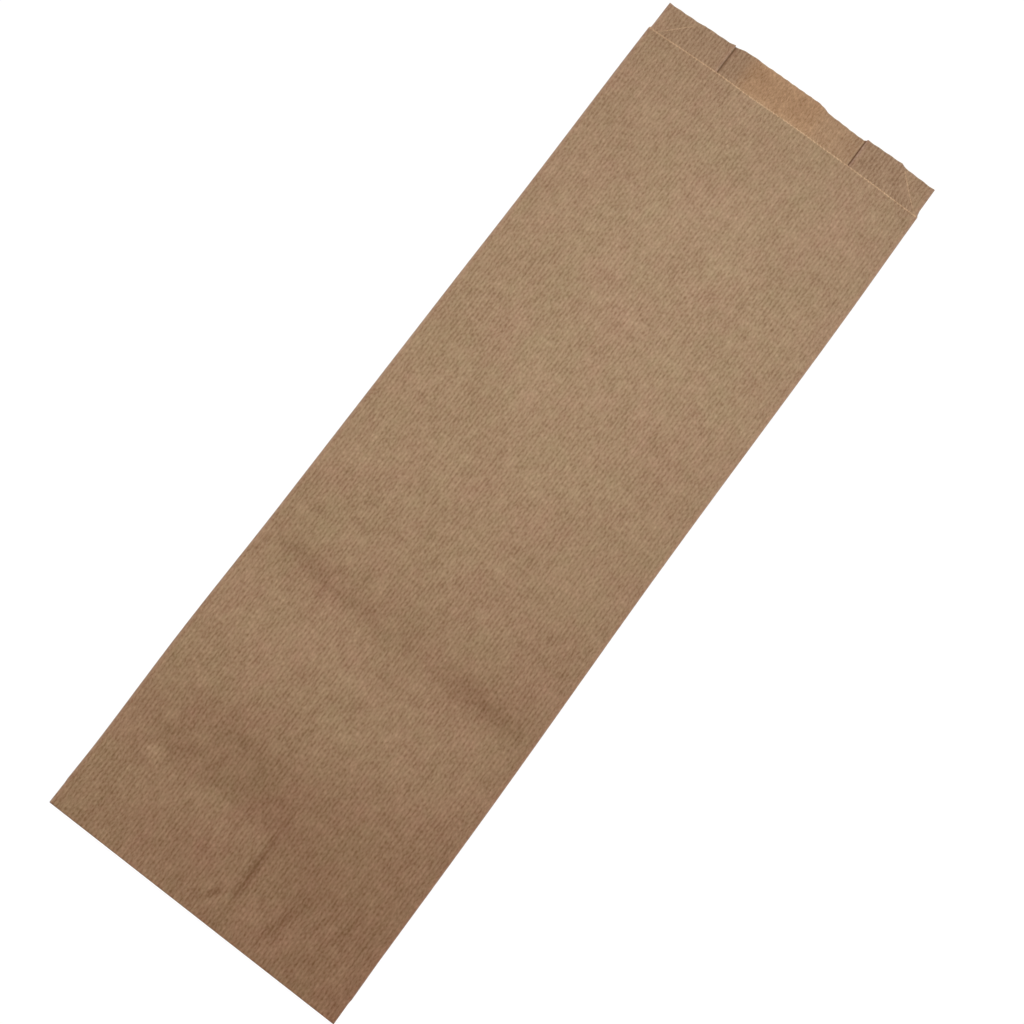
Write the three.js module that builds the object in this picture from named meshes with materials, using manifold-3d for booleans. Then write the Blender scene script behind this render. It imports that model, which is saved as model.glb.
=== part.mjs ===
// A paper bread bag, lying on its back and a little sprung open.
//
// It is one sheet of ribbed kraft paper, folded into a flat tube with a pleat (a gusset) in each
// side, glued along the back, and closed at the bottom by folding the end of the tube over. At the
// mouth the front is cut shorter than the back, so a lip stands out behind it.
//
// Millimetres. X runs across the bag, +Y toward the mouth, +Z up, away from what it lies on. The
// origin is on that surface, below the middle of the bag.

import * as THREE from 'three';
import { mergeVertices } from 'three/addons/utils/BufferGeometryUtils.js';
import Module from 'manifold-3d';

// ---------------------------------------------------------------- driving dimensions

const BAG_WIDTH = 160;            // across the flat bag, fold to fold
const BAG_LENGTH = 477;           // from the bottom fold to the cut edge of the lip
const LIP_LENGTH = 17;            // what the back and the gussets have more than the front
const GUSSET_DEPTH = 40;          // from the side of the bag to the inner fold of each pleat
const WALL = 0.25;                // the sheet, drawn about three times its real thickness

const FOLD_RADIUS = 0.3;          // middle of the sheet, at the long folds
const FOLD_RADIUS_PRESSED = 0.2;  // the same, where the bottom end is glued down flat
const PLEAT_GAP = 0.75;           // between the two layers of a gusset, at the side of the bag
const PLEAT_GAP_PRESSED = 0.4;
const GUSSET_SPRING = 1.2;        // how far the inner fold of a gusset stands off the back

const CROWN_MOUTH = 4.2;          // rise of the front from its side folds to its middle
const CROWN_BODY = 5;
const CROWN_STARTS = 90;          // from the bottom fold to where the bag has its full height
const CROWN_SETTLES = 110;        // from the front's cut edge to where CROWN_BODY is reached
const CROWN_POWER = 2.2;

const DIP_DEPTH = 0.7;            // a soft bend across the front, as from being folded once
const DIP_FROM_MOUTH = 0.68;      // its place, as a share of the front's length
const DIP_REACH = 22;
const DIP_MIDDLE_X = 52;          // it is deepest toward the right side
const DIP_WIDTH = 55;

const SEAM_EDGE_INSIDE = -39;     // the glued lap of the back lies between these two edges
const SEAM_EDGE_OUTSIDE = -25;
const SEAM_RELAXES = 4;           // beyond its outer edge the sheet comes down over this width

const FLAP_LENGTH = 30;           // what is folded over at the bottom, with its tongue
const FLAP_TONGUE = 17;           // the end of the flap, where only the front's layer is left
const FLAP_THICK = 0.9;
const TONGUE_THICK = 0.35;
const FLAP_RAMP = 2;              // the step from the flap to its tongue
const FLAP_RELAXES = 16;          // past the flap the back comes down over this length
const GLUE_SINK = 0.05;           // how far glued layers are let into each other
const BOTTOM_FOLD_WALL = 1.4;     // the solid fold across the bottom end

const CUT_SETBACK_LEFT = 3;       // where the 45 degree cut of a gusset's front layer starts,
const CUT_SETBACK_RIGHT = 0.5;    // from the side of the bag
const GUSSET_LIP_LEFT = 1.8;      // rise of each gusset's inner fold along the lip
const GUSSET_LIP_RIGHT = 1.4;
const LIP_WAVES = [               // the lip curls up in three soft waves
  { x: -30, rise: 2.6, reach: 8 },
  { x: -12, rise: 2.3, reach: 13 },
  { x: 8, rise: 2.1, reach: 7.5 },
];

// ---------------------------------------------------------------- how finely it is divided

const FRONT_STEPS = 16;
const BACK_RIGHT_STEPS = 16;      // back, from the right side to the seam
const BACK_LEFT_STEPS = 3;        // and from the seam to the left side
const SEAM_STEPS = 3;
const GUSSET_STEPS = 4;
const FOLD_STEPS = 4;
const EDGE_STEP = 0.15;           // two lines this close make the step at a cut edge
const FLAP_ROWS = 2;              // over the flap, and as many over its tongue and past its end
const RAMP_ROWS = 1;
const BOTTOM_ROWS = 3;            // from the flap to the sprung body
const CROWN_ROWS = 1;             // from there to the dip
const DIP_ROWS = 6;
const DIP_SPAN = 1.5;             // the dip's rows reach this many times DIP_REACH from its middle
const BODY_ROWS = 10;             // from the dip to the mouth
const TRIM_ROWS = 7;              // rows of the zone in which the sheet ends
const TRIM_ZONE = 8;              // it starts this far below the front's cut edge
const NOSE_STEPS = 8;

// ---------------------------------------------------------------- places along the bag

const bottomY = -BAG_LENGTH / 2;
const lipEndY = BAG_LENGTH / 2;
const frontEndY = lipEndY - LIP_LENGTH;
const flapEndY = bottomY + FLAP_LENGTH;
const tongueY = flapEndY - FLAP_TONGUE;
const frontLength = BAG_LENGTH - LIP_LENGTH;
const dipY = frontEndY - DIP_FROM_MOUTH * frontLength;

const { clamp, lerp, smoothstep } = THREE.MathUtils;

// 1 in the sprung body of the bag, 0 at the bottom fold
const sprung = (y) => smoothstep(y, bottomY, bottomY + CROWN_STARTS);

// how far the back is held up by the flap below it
function flapLift(y) {
  const overFlap = 1 - smoothstep(y, tongueY - FLAP_RAMP, tongueY);
  const overTongue = 1 - smoothstep(y, flapEndY, flapEndY + FLAP_RELAXES);
  const flapTop = TONGUE_THICK + (FLAP_THICK - TONGUE_THICK) * overFlap;
  return (flapTop - GLUE_SINK) * overTongue;
}

// ---------------------------------------------------------------- heights of the layers
//
// Each gives the height of the middle of the sheet. The bag is a stack of four layers: back, back
// layer of the gusset, front layer of the gusset, front.

const foldRadius = (y) => lerp(FOLD_RADIUS_PRESSED, FOLD_RADIUS, sprung(y));
const pleatGap = (y) => lerp(PLEAT_GAP_PRESSED, PLEAT_GAP, sprung(y));
const sideFoldX = (y) => BAG_WIDTH / 2 - WALL / 2 - foldRadius(y);
const innerFoldX = (y) => BAG_WIDTH / 2 - GUSSET_DEPTH + WALL / 2 + foldRadius(y);

// 0 at the front's cut edge, 1 at the lip's, measured along the sheet
const alongLip = (y) => clamp((y - frontEndY) / LIP_LENGTH, 0, 1);

const lipRise = (x) => LIP_WAVES.reduce(
  (sum, wave) => sum + wave.rise * Math.exp(-(((x - wave.x) / wave.reach) ** 2)), 0);

function gussetLipRise(x, y) {
  const inward = clamp((sideFoldX(y) - Math.abs(x)) / (sideFoldX(y) - innerFoldX(y)), 0, 1);
  return x < 0 ? GUSSET_LIP_LEFT * inward : GUSSET_LIP_RIGHT * inward ** 3;
}

function backHeight(x, y) {
  return WALL / 2 + flapLift(y) + lipRise(x) * alongLip(y) ** 2;
}

// both layers of a gusset rise evenly from the side fold to the inner fold
function gussetHeight(x, y, atSide, atInnerFold) {
  const inward = (sideFoldX(y) - Math.abs(x)) / (sideFoldX(y) - innerFoldX(y));
  const base = WALL / 2 + flapLift(y);
  return base + lerp(atSide, atInnerFold, inward) + gussetLipRise(x, y) * alongLip(y) ** 2;
}

function gussetBackHeight(x, y) {
  const atSide = 2 * foldRadius(y);
  return gussetHeight(x, y, atSide, atSide + GUSSET_SPRING * sprung(y));
}

function gussetFrontHeight(x, y) {
  const atSide = 2 * foldRadius(y);
  const atInnerFold = 2 * atSide + GUSSET_SPRING * sprung(y);
  return gussetHeight(x, y, atSide + pleatGap(y), atInnerFold);
}

function frontHeight(x, y) {
  const atSide = WALL / 2 + flapLift(y) + 4 * foldRadius(y) + pleatGap(y);
  const fullCrown = lerp(CROWN_BODY, CROWN_MOUTH,
    smoothstep(y, frontEndY - CROWN_SETTLES, frontEndY));
  const across = 1 - Math.abs(x / sideFoldX(y)) ** CROWN_POWER;
  const dip = DIP_DEPTH * Math.exp(-(((y - dipY) / DIP_REACH) ** 2))
    * Math.exp(-(((x - DIP_MIDDLE_X) / DIP_WIDTH) ** 2));
  return atSide + (fullCrown * sprung(y) - dip) * across;
}

// ---------------------------------------------------------------- the glued seam of the back

// past its outer edge the lap's inner layer comes down to the level of the sheet
const seamSlope = (x) => 1 - (x - SEAM_EDGE_OUTSIDE) / SEAM_RELAXES;

function seamAbove(x) {
  if (x < SEAM_EDGE_INSIDE || x >= SEAM_EDGE_OUTSIDE + SEAM_RELAXES) return 0;
  return x <= SEAM_EDGE_OUTSIDE ? WALL : WALL * seamSlope(x);
}

function seamBelow(x) {
  if (x <= SEAM_EDGE_OUTSIDE || x >= SEAM_EDGE_OUTSIDE + SEAM_RELAXES) return 0;
  return WALL * seamSlope(x);
}

// ---------------------------------------------------------------- lines of the sheet
//
// The sheet is drawn as lines that run from the bottom to its cut end. They go round the tube:
// left to right over the front, down the right side, back under, and up the left side. A line
// gives its place across the bag at each y, and where it is cut off.

const evenly = (from, to, steps) => Array.from(
  { length: steps + 1 }, (_, k) => lerp(from, to, k / steps));

// the front layer of a gusset is cut at 45 degrees, from the front's edge out to the lip's
function gussetFrontEnd(fromSide, side) {
  const setback = side < 0 ? CUT_SETBACK_LEFT : CUT_SETBACK_RIGHT;
  return frontEndY + clamp(fromSide - setback, 0, LIP_LENGTH);
}

function frontLines() {
  return evenly(-1, 1, FRONT_STEPS).map((share) => ({
    end: frontEndY,
    at: (y) => {
      const x = share * sideFoldX(y);
      return [x, frontHeight(x, y)];
    },
  }));
}

// the back from +X to -X, with close pairs of lines at the two edges of the seam
function backLines() {
  const right = evenly(1, 0, BACK_RIGHT_STEPS).slice(0, -1);
  const seamEnd = SEAM_EDGE_OUTSIDE + SEAM_RELAXES;
  const seam = [seamEnd, SEAM_EDGE_OUTSIDE + EDGE_STEP,
    ...evenly(SEAM_EDGE_OUTSIDE, SEAM_EDGE_INSIDE, SEAM_STEPS), SEAM_EDGE_INSIDE - EDGE_STEP];
  const left = evenly(0, 1, BACK_LEFT_STEPS).slice(1);
  const places = [
    ...right.map((share) => (y) => lerp(seamEnd, sideFoldX(y), share)),
    ...seam.map((x) => () => x),
    ...left.map((share) => (y) => lerp(SEAM_EDGE_INSIDE - EDGE_STEP, -sideFoldX(y), share)),
  ];
  return places.map((placeX) => ({
    end: lipEndY,
    at: (y) => [placeX(y), backHeight(placeX(y), y)],
    seam: true,
  }));
}

// One layer of a gusset, as lines from the side fold inward. endAt gives where a line is cut off
// from its distance to the side of the bag.
function gussetLines(side, height, endAt) {
  return evenly(0, 1, GUSSET_STEPS).map((share) => ({
    end: endAt(lerp(0, GUSSET_DEPTH, share), side),
    at: (y) => {
      const x = side * lerp(sideFoldX(y), innerFoldX(y), share);
      return [x, height(x, y)];
    },
  }));
}

// The lines of one long fold, as a half circle between an upper and a lower layer. It bulges
// toward `side` at a side fold and away from it at the inner fold of a gusset.
function foldLines(side, bulge, foldX, upper, lower, end) {
  return evenly(Math.PI / 2, -Math.PI / 2, FOLD_STEPS).slice(1, -1).map((angle) => ({
    end,
    at: (y) => {
      const x = side * foldX(y);
      const middle = (upper(x, y) + lower(x, y)) / 2;
      const radius = (upper(x, y) - lower(x, y)) / 2;
      return [x + side * bulge * radius * Math.cos(angle), middle + radius * Math.sin(angle)];
    },
  }));
}

// One side of the bag from the front down to the back, seen as on the right.
function sideLines(side) {
  const toLip = () => lipEndY;
  return [
    ...foldLines(side, 1, sideFoldX, frontHeight, gussetFrontHeight, frontEndY),
    ...gussetLines(side, gussetFrontHeight, gussetFrontEnd),
    ...foldLines(side, -1, innerFoldX, gussetFrontHeight, gussetBackHeight, lipEndY),
    ...gussetLines(side, gussetBackHeight, toLip).reverse(),
    ...foldLines(side, 1, sideFoldX, gussetBackHeight, backHeight, lipEndY),
  ];
}

function sheetLines() {
  return [...frontLines(), ...sideLines(1), ...backLines(), ...sideLines(-1).reverse()];
}

// ---------------------------------------------------------------- the tube

// y of the rows that all lines share, closer together where the shape changes
function sharedRows() {
  const stretches = [
    [bottomY + BOTTOM_FOLD_WALL - WALL, FLAP_ROWS],
    [tongueY - FLAP_RAMP, RAMP_ROWS],
    [tongueY, FLAP_ROWS],
    [flapEndY, FLAP_ROWS],
    [flapEndY + FLAP_RELAXES, BOTTOM_ROWS],
    [bottomY + CROWN_STARTS, CROWN_ROWS],
    [dipY - DIP_SPAN * DIP_REACH, DIP_ROWS],
    [dipY + DIP_SPAN * DIP_REACH, BODY_ROWS],
    [frontEndY - TRIM_ZONE, 0],
  ];
  return stretches.flatMap(([from, steps], k) => (
    steps > 0 ? evenly(from, stretches[k + 1][0], steps).slice(0, -1) : [from]));
}

// A point of the sheet. Where the lip curls up, as a parabola, its length is kept: the arc is two
// thirds of climb squared over length longer than its base, so its end draws back by that.
function sheetPoint(line, y) {
  const along = alongLip(y);
  const flat = line.at(Math.min(y, frontEndY));
  const [x, z] = line.at(y);
  const climb = along > 0 ? (z - flat[1]) / along ** 2 : 0;
  const drawnBack = (2 / 3) * (climb ** 2 / LIP_LENGTH) * along ** 3;
  return new THREE.Vector3(x, y - drawnBack, z);
}

function sheetRow(line, row, rows) {
  if (row < rows.length) return rows[row];
  const share = (row - rows.length + 1) / TRIM_ROWS;
  return lerp(rows[rows.length - 1], line.end, share);
}

// The sheet as a closed wall: its outer face, its inner face, and the cut ends between them.
function foldedTube() {
  const lines = sheetLines();
  const rows = sharedRows();
  const rowCount = rows.length + TRIM_ROWS;
  const middle = lines.map((line) => Array.from(
    { length: rowCount }, (_, row) => sheetPoint(line, sheetRow(line, row, rows))));

  const lineCount = lines.length;
  const positions = [];
  const facing = new THREE.Vector3();
  const lengthwise = new THREE.Vector3();
  middle.forEach((points, i) => points.forEach((point, row) => {
    const next = middle[(i + 1) % lineCount][row];
    const before = middle[(i + lineCount - 1) % lineCount][row];
    facing.subVectors(next, before);
    lengthwise.subVectors(points[Math.min(row + 1, rowCount - 1)], points[Math.max(row - 1, 0)]);
    facing.cross(lengthwise).normalize();
    const outer = point.clone().addScaledVector(facing, WALL / 2);
    const inner = point.clone().addScaledVector(facing, -WALL / 2);
    if (lines[i].seam) {
      outer.z += seamBelow(point.x);
      inner.z += seamAbove(point.x);
    }
    positions.push(...outer, ...inner);
  }));

  const vertex = (i, row, face) => 2 * ((i % lineCount) * rowCount + row) + face;
  const [OUTER, INNER] = [0, 1];
  const triangles = [];
  const quad = (a, b, c, d) => triangles.push(a, b, c, a, c, d);
  for (let i = 0; i < lineCount; i += 1) {
    for (let row = 0; row + 1 < rowCount; row += 1) {
      quad(vertex(i, row, OUTER), vertex(i + 1, row, OUTER),
        vertex(i + 1, row + 1, OUTER), vertex(i, row + 1, OUTER));
      quad(vertex(i, row, INNER), vertex(i, row + 1, INNER),
        vertex(i + 1, row + 1, INNER), vertex(i + 1, row, INNER));
    }
    const top = rowCount - 1;
    quad(vertex(i, top, OUTER), vertex(i + 1, top, OUTER),
      vertex(i + 1, top, INNER), vertex(i, top, INNER));
    quad(vertex(i, 0, INNER), vertex(i + 1, 0, INNER),
      vertex(i + 1, 0, OUTER), vertex(i, 0, OUTER));
  }

  const geometry = new THREE.BufferGeometry();
  geometry.setAttribute('position', new THREE.Float32BufferAttribute(positions, 3));
  geometry.setIndex(triangles);
  return geometry;
}

// ---------------------------------------------------------------- the closed bottom

// The end of the tube is one bar with a round nose, and its flap lies on the floor below the
// back. Drawn from the side, as y and z, and extruded across the bag.
function bottomFold() {
  const stack = frontHeight(BAG_WIDTH / 2, bottomY) + WALL / 2;
  const wallY = bottomY + BOTTOM_FOLD_WALL;
  const noseY = bottomY + stack / 2;
  const profile = new THREE.Shape();
  profile.moveTo(flapEndY, 0);
  profile.lineTo(flapEndY, TONGUE_THICK);
  profile.lineTo(tongueY, TONGUE_THICK);
  profile.lineTo(tongueY - FLAP_RAMP, FLAP_THICK);
  profile.lineTo(wallY, FLAP_THICK);
  profile.lineTo(wallY, stack);
  profile.lineTo(noseY, stack);
  profile.absellipse(noseY, stack / 2, stack / 2, stack / 2, Math.PI / 2, 1.5 * Math.PI);

  const width = BAG_WIDTH - 2 * GLUE_SINK;
  const geometry = new THREE.ExtrudeGeometry(profile, {
    depth: width, bevelEnabled: false, curveSegments: NOSE_STEPS,
  });
  // the profile's y and z turn to the bag's y and z, and its extrusion runs along +X
  geometry.applyMatrix4(new THREE.Matrix4().set(
    0, 0, 1, -width / 2,
    1, 0, 0, 0,
    0, 1, 0, 0,
    0, 0, 0, 1,
  ));
  return geometry;
}

// ---------------------------------------------------------------- joining

const wasm = await Module();
wasm.setup();

function toSolid(geometry) {
  const bare = geometry.clone();
  bare.deleteAttribute('normal');
  bare.deleteAttribute('uv');
  const merged = mergeVertices(bare, 1e-4);
  return new wasm.Manifold(new wasm.Mesh({
    numProp: 3,
    vertProperties: merged.attributes.position.array,
    triVerts: new Uint32Array(merged.index.array),
  }));
}

function toGeometry(solid) {
  const { vertProperties, triVerts } = solid.getMesh();
  const geometry = new THREE.BufferGeometry();
  geometry.setAttribute('position', new THREE.Float32BufferAttribute(vertProperties, 3));
  geometry.setIndex([...triVerts]);
  geometry.computeVertexNormals();
  return geometry;
}

const kraft = new THREE.MeshStandardMaterial({ color: 0x9c8066, roughness: 0.85, metalness: 0 });
const bagSolid = toSolid(foldedTube()).add(toSolid(bottomFold()));
const bag = new THREE.Mesh(toGeometry(bagSolid), kraft);
bag.name = 'bag';

const part = new THREE.Group();
part.add(bag);

export default part;
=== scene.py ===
# %% [markdown]
# # A paper bread bag
#
# The real thing is one sheet of brown kraft paper with fine ribs, folded round into a flat tube,
# glued along its back and closed by folding its bottom end over. A pleat in each side, the
# gusset, lets it open up for a loaf. It has no thickness to speak of, so nearly all that the eye
# gets is folds, cut edges and the paper itself.
#
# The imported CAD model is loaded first. It fixes the size and the place of everything, and the
# detailed bag is then drawn inside it and stands in for it.

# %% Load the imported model
import math

import bpy
import numpy as np
from mathutils import Matrix, Vector


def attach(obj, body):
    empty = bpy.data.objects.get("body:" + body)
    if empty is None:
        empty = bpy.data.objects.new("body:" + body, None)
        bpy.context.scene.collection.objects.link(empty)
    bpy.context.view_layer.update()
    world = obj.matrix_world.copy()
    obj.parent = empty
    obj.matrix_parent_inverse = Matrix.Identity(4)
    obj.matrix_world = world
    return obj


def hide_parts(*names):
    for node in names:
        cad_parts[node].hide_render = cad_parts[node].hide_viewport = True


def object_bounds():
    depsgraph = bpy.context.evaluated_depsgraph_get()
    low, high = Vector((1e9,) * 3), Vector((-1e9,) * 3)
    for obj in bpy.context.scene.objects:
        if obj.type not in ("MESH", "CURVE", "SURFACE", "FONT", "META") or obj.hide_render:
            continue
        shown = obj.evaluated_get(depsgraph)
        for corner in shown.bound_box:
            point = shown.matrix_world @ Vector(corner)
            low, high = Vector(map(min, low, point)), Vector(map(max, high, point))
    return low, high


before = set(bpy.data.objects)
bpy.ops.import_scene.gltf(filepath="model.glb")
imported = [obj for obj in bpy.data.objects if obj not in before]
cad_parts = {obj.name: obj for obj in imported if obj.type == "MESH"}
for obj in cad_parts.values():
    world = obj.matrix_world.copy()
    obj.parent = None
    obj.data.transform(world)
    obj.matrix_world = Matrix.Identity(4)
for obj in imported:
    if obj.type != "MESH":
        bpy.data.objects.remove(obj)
cad_low, cad_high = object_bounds()
print("CAD box in mm:", [round(1000 * side) for side in cad_high - cad_low])

# %% [markdown]
# ## Measures
#
# All sizes are in millimetres, as one would measure the bag on a table, and are turned to
# Blender's metres when the mesh is made. X runs across the bag, +Y toward the mouth and +Z up.
# The outer sizes come from the CAD box. The rest are the bag's own: how deep the pleats are, how
# far the lip stands out, and how the empty bag springs open a little.

# %% Sizes of the bag
MM = 0.001
BAG_WIDTH = (cad_high.x - cad_low.x) / MM
BAG_LENGTH = (cad_high.y - cad_low.y) / MM
LIP_LENGTH = 17
GUSSET_DEPTH = 40
INNER_FOLD_SHIFT = {-1: 0.5, 1: -1.4}    # the left inner fold lies this much further out, the right in
SHEET = 0.12                 # paper of 0.08 mm, drawn a little stouter

FOLD_RADIUS = 0.3            # of the long folds; the next is theirs at the pressed bottom
FOLD_RADIUS_PRESSED = 0.2
PLEAT_GAP = 0.75             # between the two layers of a gusset, at the side folds
PLEAT_GAP_PRESSED = 0.4
GUSSET_SPRING = 0.9          # how far the inner folds spring up
LIP_INSET_LEFT = 0.5         # beyond the front's cut edge the sides draw in by this much
LIP_INSET_RIGHT = 0.8

lip_end_y = BAG_LENGTH / 2
bottom_y = -BAG_LENGTH / 2
front_end_y = lip_end_y - LIP_LENGTH
print(f"bag {BAG_WIDTH:.0f} x {BAG_LENGTH:.0f} mm, front cut at y = {front_end_y:.1f}")


# %% [markdown]
# ## Small helpers for shapes
#
# Each form below is a height over the place (x, y), so a few functions of numbers are all that
# is needed: a blend between two values, a soft step, and a soft path through a few measured
# places. They work on whole arrays of points at once.

# %% Blends and soft steps
def mix(a, b, share):
    return a + (b - a) * share


def soft_step(value, start, end):
    share = np.clip((value - start) / (end - start), 0, 1)
    return share * share * (3 - 2 * share)


def soft_path(value, places):
    """A smooth run through (place, size) pairs, level at each of them."""
    sizes = np.full(np.shape(value), float(places[0][1]))
    for (start, before), (end, after) in zip(places, places[1:]):
        sizes = sizes + (after - before) * soft_step(value, start, end)
    return sizes


def bump(distance, reach):
    return np.exp(-(distance / reach) ** 2)


print("a soft step at a quarter of its way:", float(soft_step(0.25, 0, 1)))

# %% [markdown]
# ## How the empty bag lies
#
# Pressed flat at its folded bottom, the bag swells over the first hand's breadth and stays a few
# millimetres high up to the mouth. It was once folded across, about two thirds of the way down,
# and it still dips there: it slopes down to the old fold and goes on level beyond it. The side
# folds aren't quite straight either. They wander by half a millimetre.

# %% The swell of the front
CROWN_MOUTH = 4.2            # how far the middle stands above the side folds, at the mouth
CROWN_BODY = 5.0             # and further in,
CROWN_SETTLES = 110          # this far from the front's cut edge
CROWN_POWER = 2.2            # 2 would be a parabola across the bag; more is flatter in the middle
RELIEF_POWER = 8             # creases fade only close to the side folds, which hold the sheet
RELIEF_STARTS = 8            # and over this length from the bottom fold
SWELL_ENDS = 96              # from the bottom to where the swell is full, at the right
SWELL_LEFT = [(-238, 0.0), (-196, 0.32), (-154, 1.0)]    # y, share of the swell, at the left
SWELL_STEP_X = 10.8          # at this x the left's swell gives way to the right's,
SWELL_STEP = 3.6             # within this width, so the front has a lengthwise step there
DIP_LEFT = 0.45              # left of the step the sheet also sags by this much, near the bottom
SPRUNG_LENGTH = 90           # over this length from the bottom the folds open
LIP_INSET_OVER = 3

# y, and how far in the side fold lies
EDGE_LEFT = [(-238, 0.1), (-213, 0.25), (-142, -0.45), (-70, 0.2), (60, 0.2), (107, 0.35), (214, -0.3)]
EDGE_RIGHT = [(-238, 0.0), (-128, -0.4), (9, 0.6), (160, -0.35), (221, 0.0)]


def sprung(y):
    return soft_step(y, bottom_y, bottom_y + SPRUNG_LENGTH)


def fold_radius(y):
    return mix(FOLD_RADIUS_PRESSED, FOLD_RADIUS, sprung(y))


def pleat_gap(y):
    return mix(PLEAT_GAP_PRESSED, PLEAT_GAP, sprung(y))


def side_x(y, side):
    """Distance from the middle line to the middle of a side fold."""
    inset = soft_path(y, EDGE_LEFT if side < 0 else EDGE_RIGHT)
    lip_inset = LIP_INSET_LEFT if side < 0 else LIP_INSET_RIGHT
    inset = inset + lip_inset * soft_step(y, front_end_y, front_end_y + LIP_INSET_OVER)
    return BAG_WIDTH / 2 - SHEET / 2 - fold_radius(y) - inset


def inner_x(y, side):
    """Distance from the middle line to the middle of an inner fold."""
    return BAG_WIDTH / 2 - GUSSET_DEPTH + INNER_FOLD_SHIFT[side] + SHEET / 2 + fold_radius(y)


print("left fold wanders", [round(float(v), 2) for v in side_x(np.array([-200.0, 0.0, 200.0]), -1)])

# %% [markdown]
# ## What lies below: the folded-over end
#
# The end of the tube is folded over onto the back and glued. Its flap has all four layers for
# 13 mm, and then only the front's layer, the tongue, for 17 mm more, because the ends of such
# bags are cut with a lip too. The back rides over it.

# %% The flap and what it lifts
FLAP_LENGTH = 30
FLAP_TONGUE = 17
FLAP_LIFT = 0.85             # how high the back lies on the four layers, and on the tongue
TONGUE_LIFT = 0.30
FLAP_RAMP = 2
FLAP_RELAXES = 16
FRONT_RELAXES = 50           # the front hardly shows the flap below: it comes down over this length
FOLD_GAP = 0.1               # between the back and the flap, at the bottom fold

flap_end_y = bottom_y + FLAP_LENGTH
tongue_y = flap_end_y - FLAP_TONGUE


def back_lift(y):
    on_flap = 1 - soft_step(y, tongue_y - FLAP_RAMP, tongue_y)
    on_tongue = 1 - soft_step(y, flap_end_y, flap_end_y + FLAP_RELAXES)
    return (TONGUE_LIFT + (FLAP_LIFT - TONGUE_LIFT) * on_flap) * on_tongue


def front_lift(y):
    return FLAP_LIFT * (1 - soft_step(y, bottom_y, bottom_y + FRONT_RELAXES))


print("the back lies up on the flap and the tongue by",
      [round(float(back_lift(y)), 2) for y in (bottom_y, tongue_y)], "mm")

# %% [markdown]
# ## Creases and dents in the front
#
# The photo was lit softly from the mouth side, so each slope that faces the bottom is a little
# darker. Read that way, its shades give the old fold across the bag and a handful of creases.
# Each crease is a short ridge or groove, given by its middle, its direction, how far it runs, how
# wide it is and how high it stands. The grooves also get a painted shade along them, and the ridges
# a painted highlight.

# %% Creases of the front
OLD_FOLD_LEFT_Y = -87        # where the old fold meets the sides
OLD_FOLD_RIGHT_Y = -95.5
OLD_FOLD_DROPS = [(-78, 1.5), (-25, 1.35), (15, 1.25), (48, 2.4)]       # x, how deep the fold lies
OLD_FOLD_REACH = [(-60, 16), (10, 24), (50, 28)]     # x, over how long the sheet slopes down to it
OLD_FOLD_END = -156          # beyond the fold the sheet comes up again until here

CREASES = [
    # middle x, y, direction in degrees from +X, half length, half width, height
    (11.3, -214, 91, 20, 1.9, -1.10),
    (11, -178, 86, 16, 1.2, -0.35),
    (3, -227, 58, 8, 1.8, -0.80),
    (35.5, -219, 76, 14, 2.4, -0.85),
    (44, -217, 75, 12, 2.6, 0.35),
    (50, -208, 68, 8, 1.8, -0.65),
    (60, -206, 76, 11, 2.0, -0.70),
    (70, -207, 84, 9, 1.8, -0.40),
    (68, -222, 80, 8, 2.2, 0.30),
    (-13, -201, 105, 7, 1.8, 0.35),
    (-58, -195.5, 5, 5.0, 3.2, 0.90),
    (-71, -192.5, 20, 6, 2.2, 0.60),
    (-54, -176, 85, 8, 2.4, -0.40),
    (-46, -178, 60, 5, 2.4, 0.25),
    (-29, -180, 80, 7, 2.2, -0.25),
    (-38, -87, 105, 6, 1.6, 0.45),
    (-39, -81, 75, 3, 1.8, -0.60),
    (-40, -96, 91, 9, 0.9, -0.40),
    (-58, -84, 10, 7, 2.4, -0.40),
    (-26, -76, 110, 5, 2.0, -0.35),
    (-6, -82, 20, 5, 2.2, -0.35),
    (8, -81, 60, 4, 2.2, -0.40),
    (40, -88, 20, 5, 2.2, -0.40),
    (52, -90, 170, 6, 2.0, -0.35),
    (-38, -103, 90, 9, 1.1, -0.25),
    (-27, -63, 96, 7, 1.3, 0.25),
    (-36, -45, 86, 6, 1.8, -0.40),
    (-48, -42, 75, 5, 2.0, -0.25),
    (-62, -12, 60, 7, 2.0, -0.20),
    (-22, -128, 60, 6, 2.2, -0.30),
    (5, -128, 120, 6, 3.0, -0.35),
    (12, -134, 40, 6, 2.2, 0.35),
    (-68, -134, 75, 3, 1.6, -0.35),
    (-36, -152, 70, 6, 2.6, 0.35),
    (-55, -122, 85, 14, 2.6, 0.15),
    (-63, 90, 3, 16, 4.0, -0.35),
    (40, 52, 25, 14, 2.6, -0.30),
    (58, 92, 60, 9, 3.0, -0.20),
    (20, 140, 70, 22, 6.0, 0.15),
    (-20, 40, 115, 25, 6.0, 0.15),
    (48, 20, 80, 24, 6.5, -0.15),
]

print(len(CREASES), "creases beside the old fold")

# %% [markdown]
# ## The front's height
#
# The old fold is a parabola on its mouth side and a slow rise on its bottom side. A sum of
# ripples, each with its own length and direction, keeps the plain stretches from being too flat.
# They are drawn from a seeded generator, so they are the same each time. All of this lies on the
# swell, and fades toward the folds that hold the sheet.

# %% Relief of the front
RIPPLE_SEED = 7
RIPPLE_COUNT = 26
RIPPLE_SHORTEST = 22         # mm from crest to crest
RIPPLE_LONGEST = 70
RIPPLE_HEIGHT = 0.13         # mm, the usual height of their sum


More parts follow.
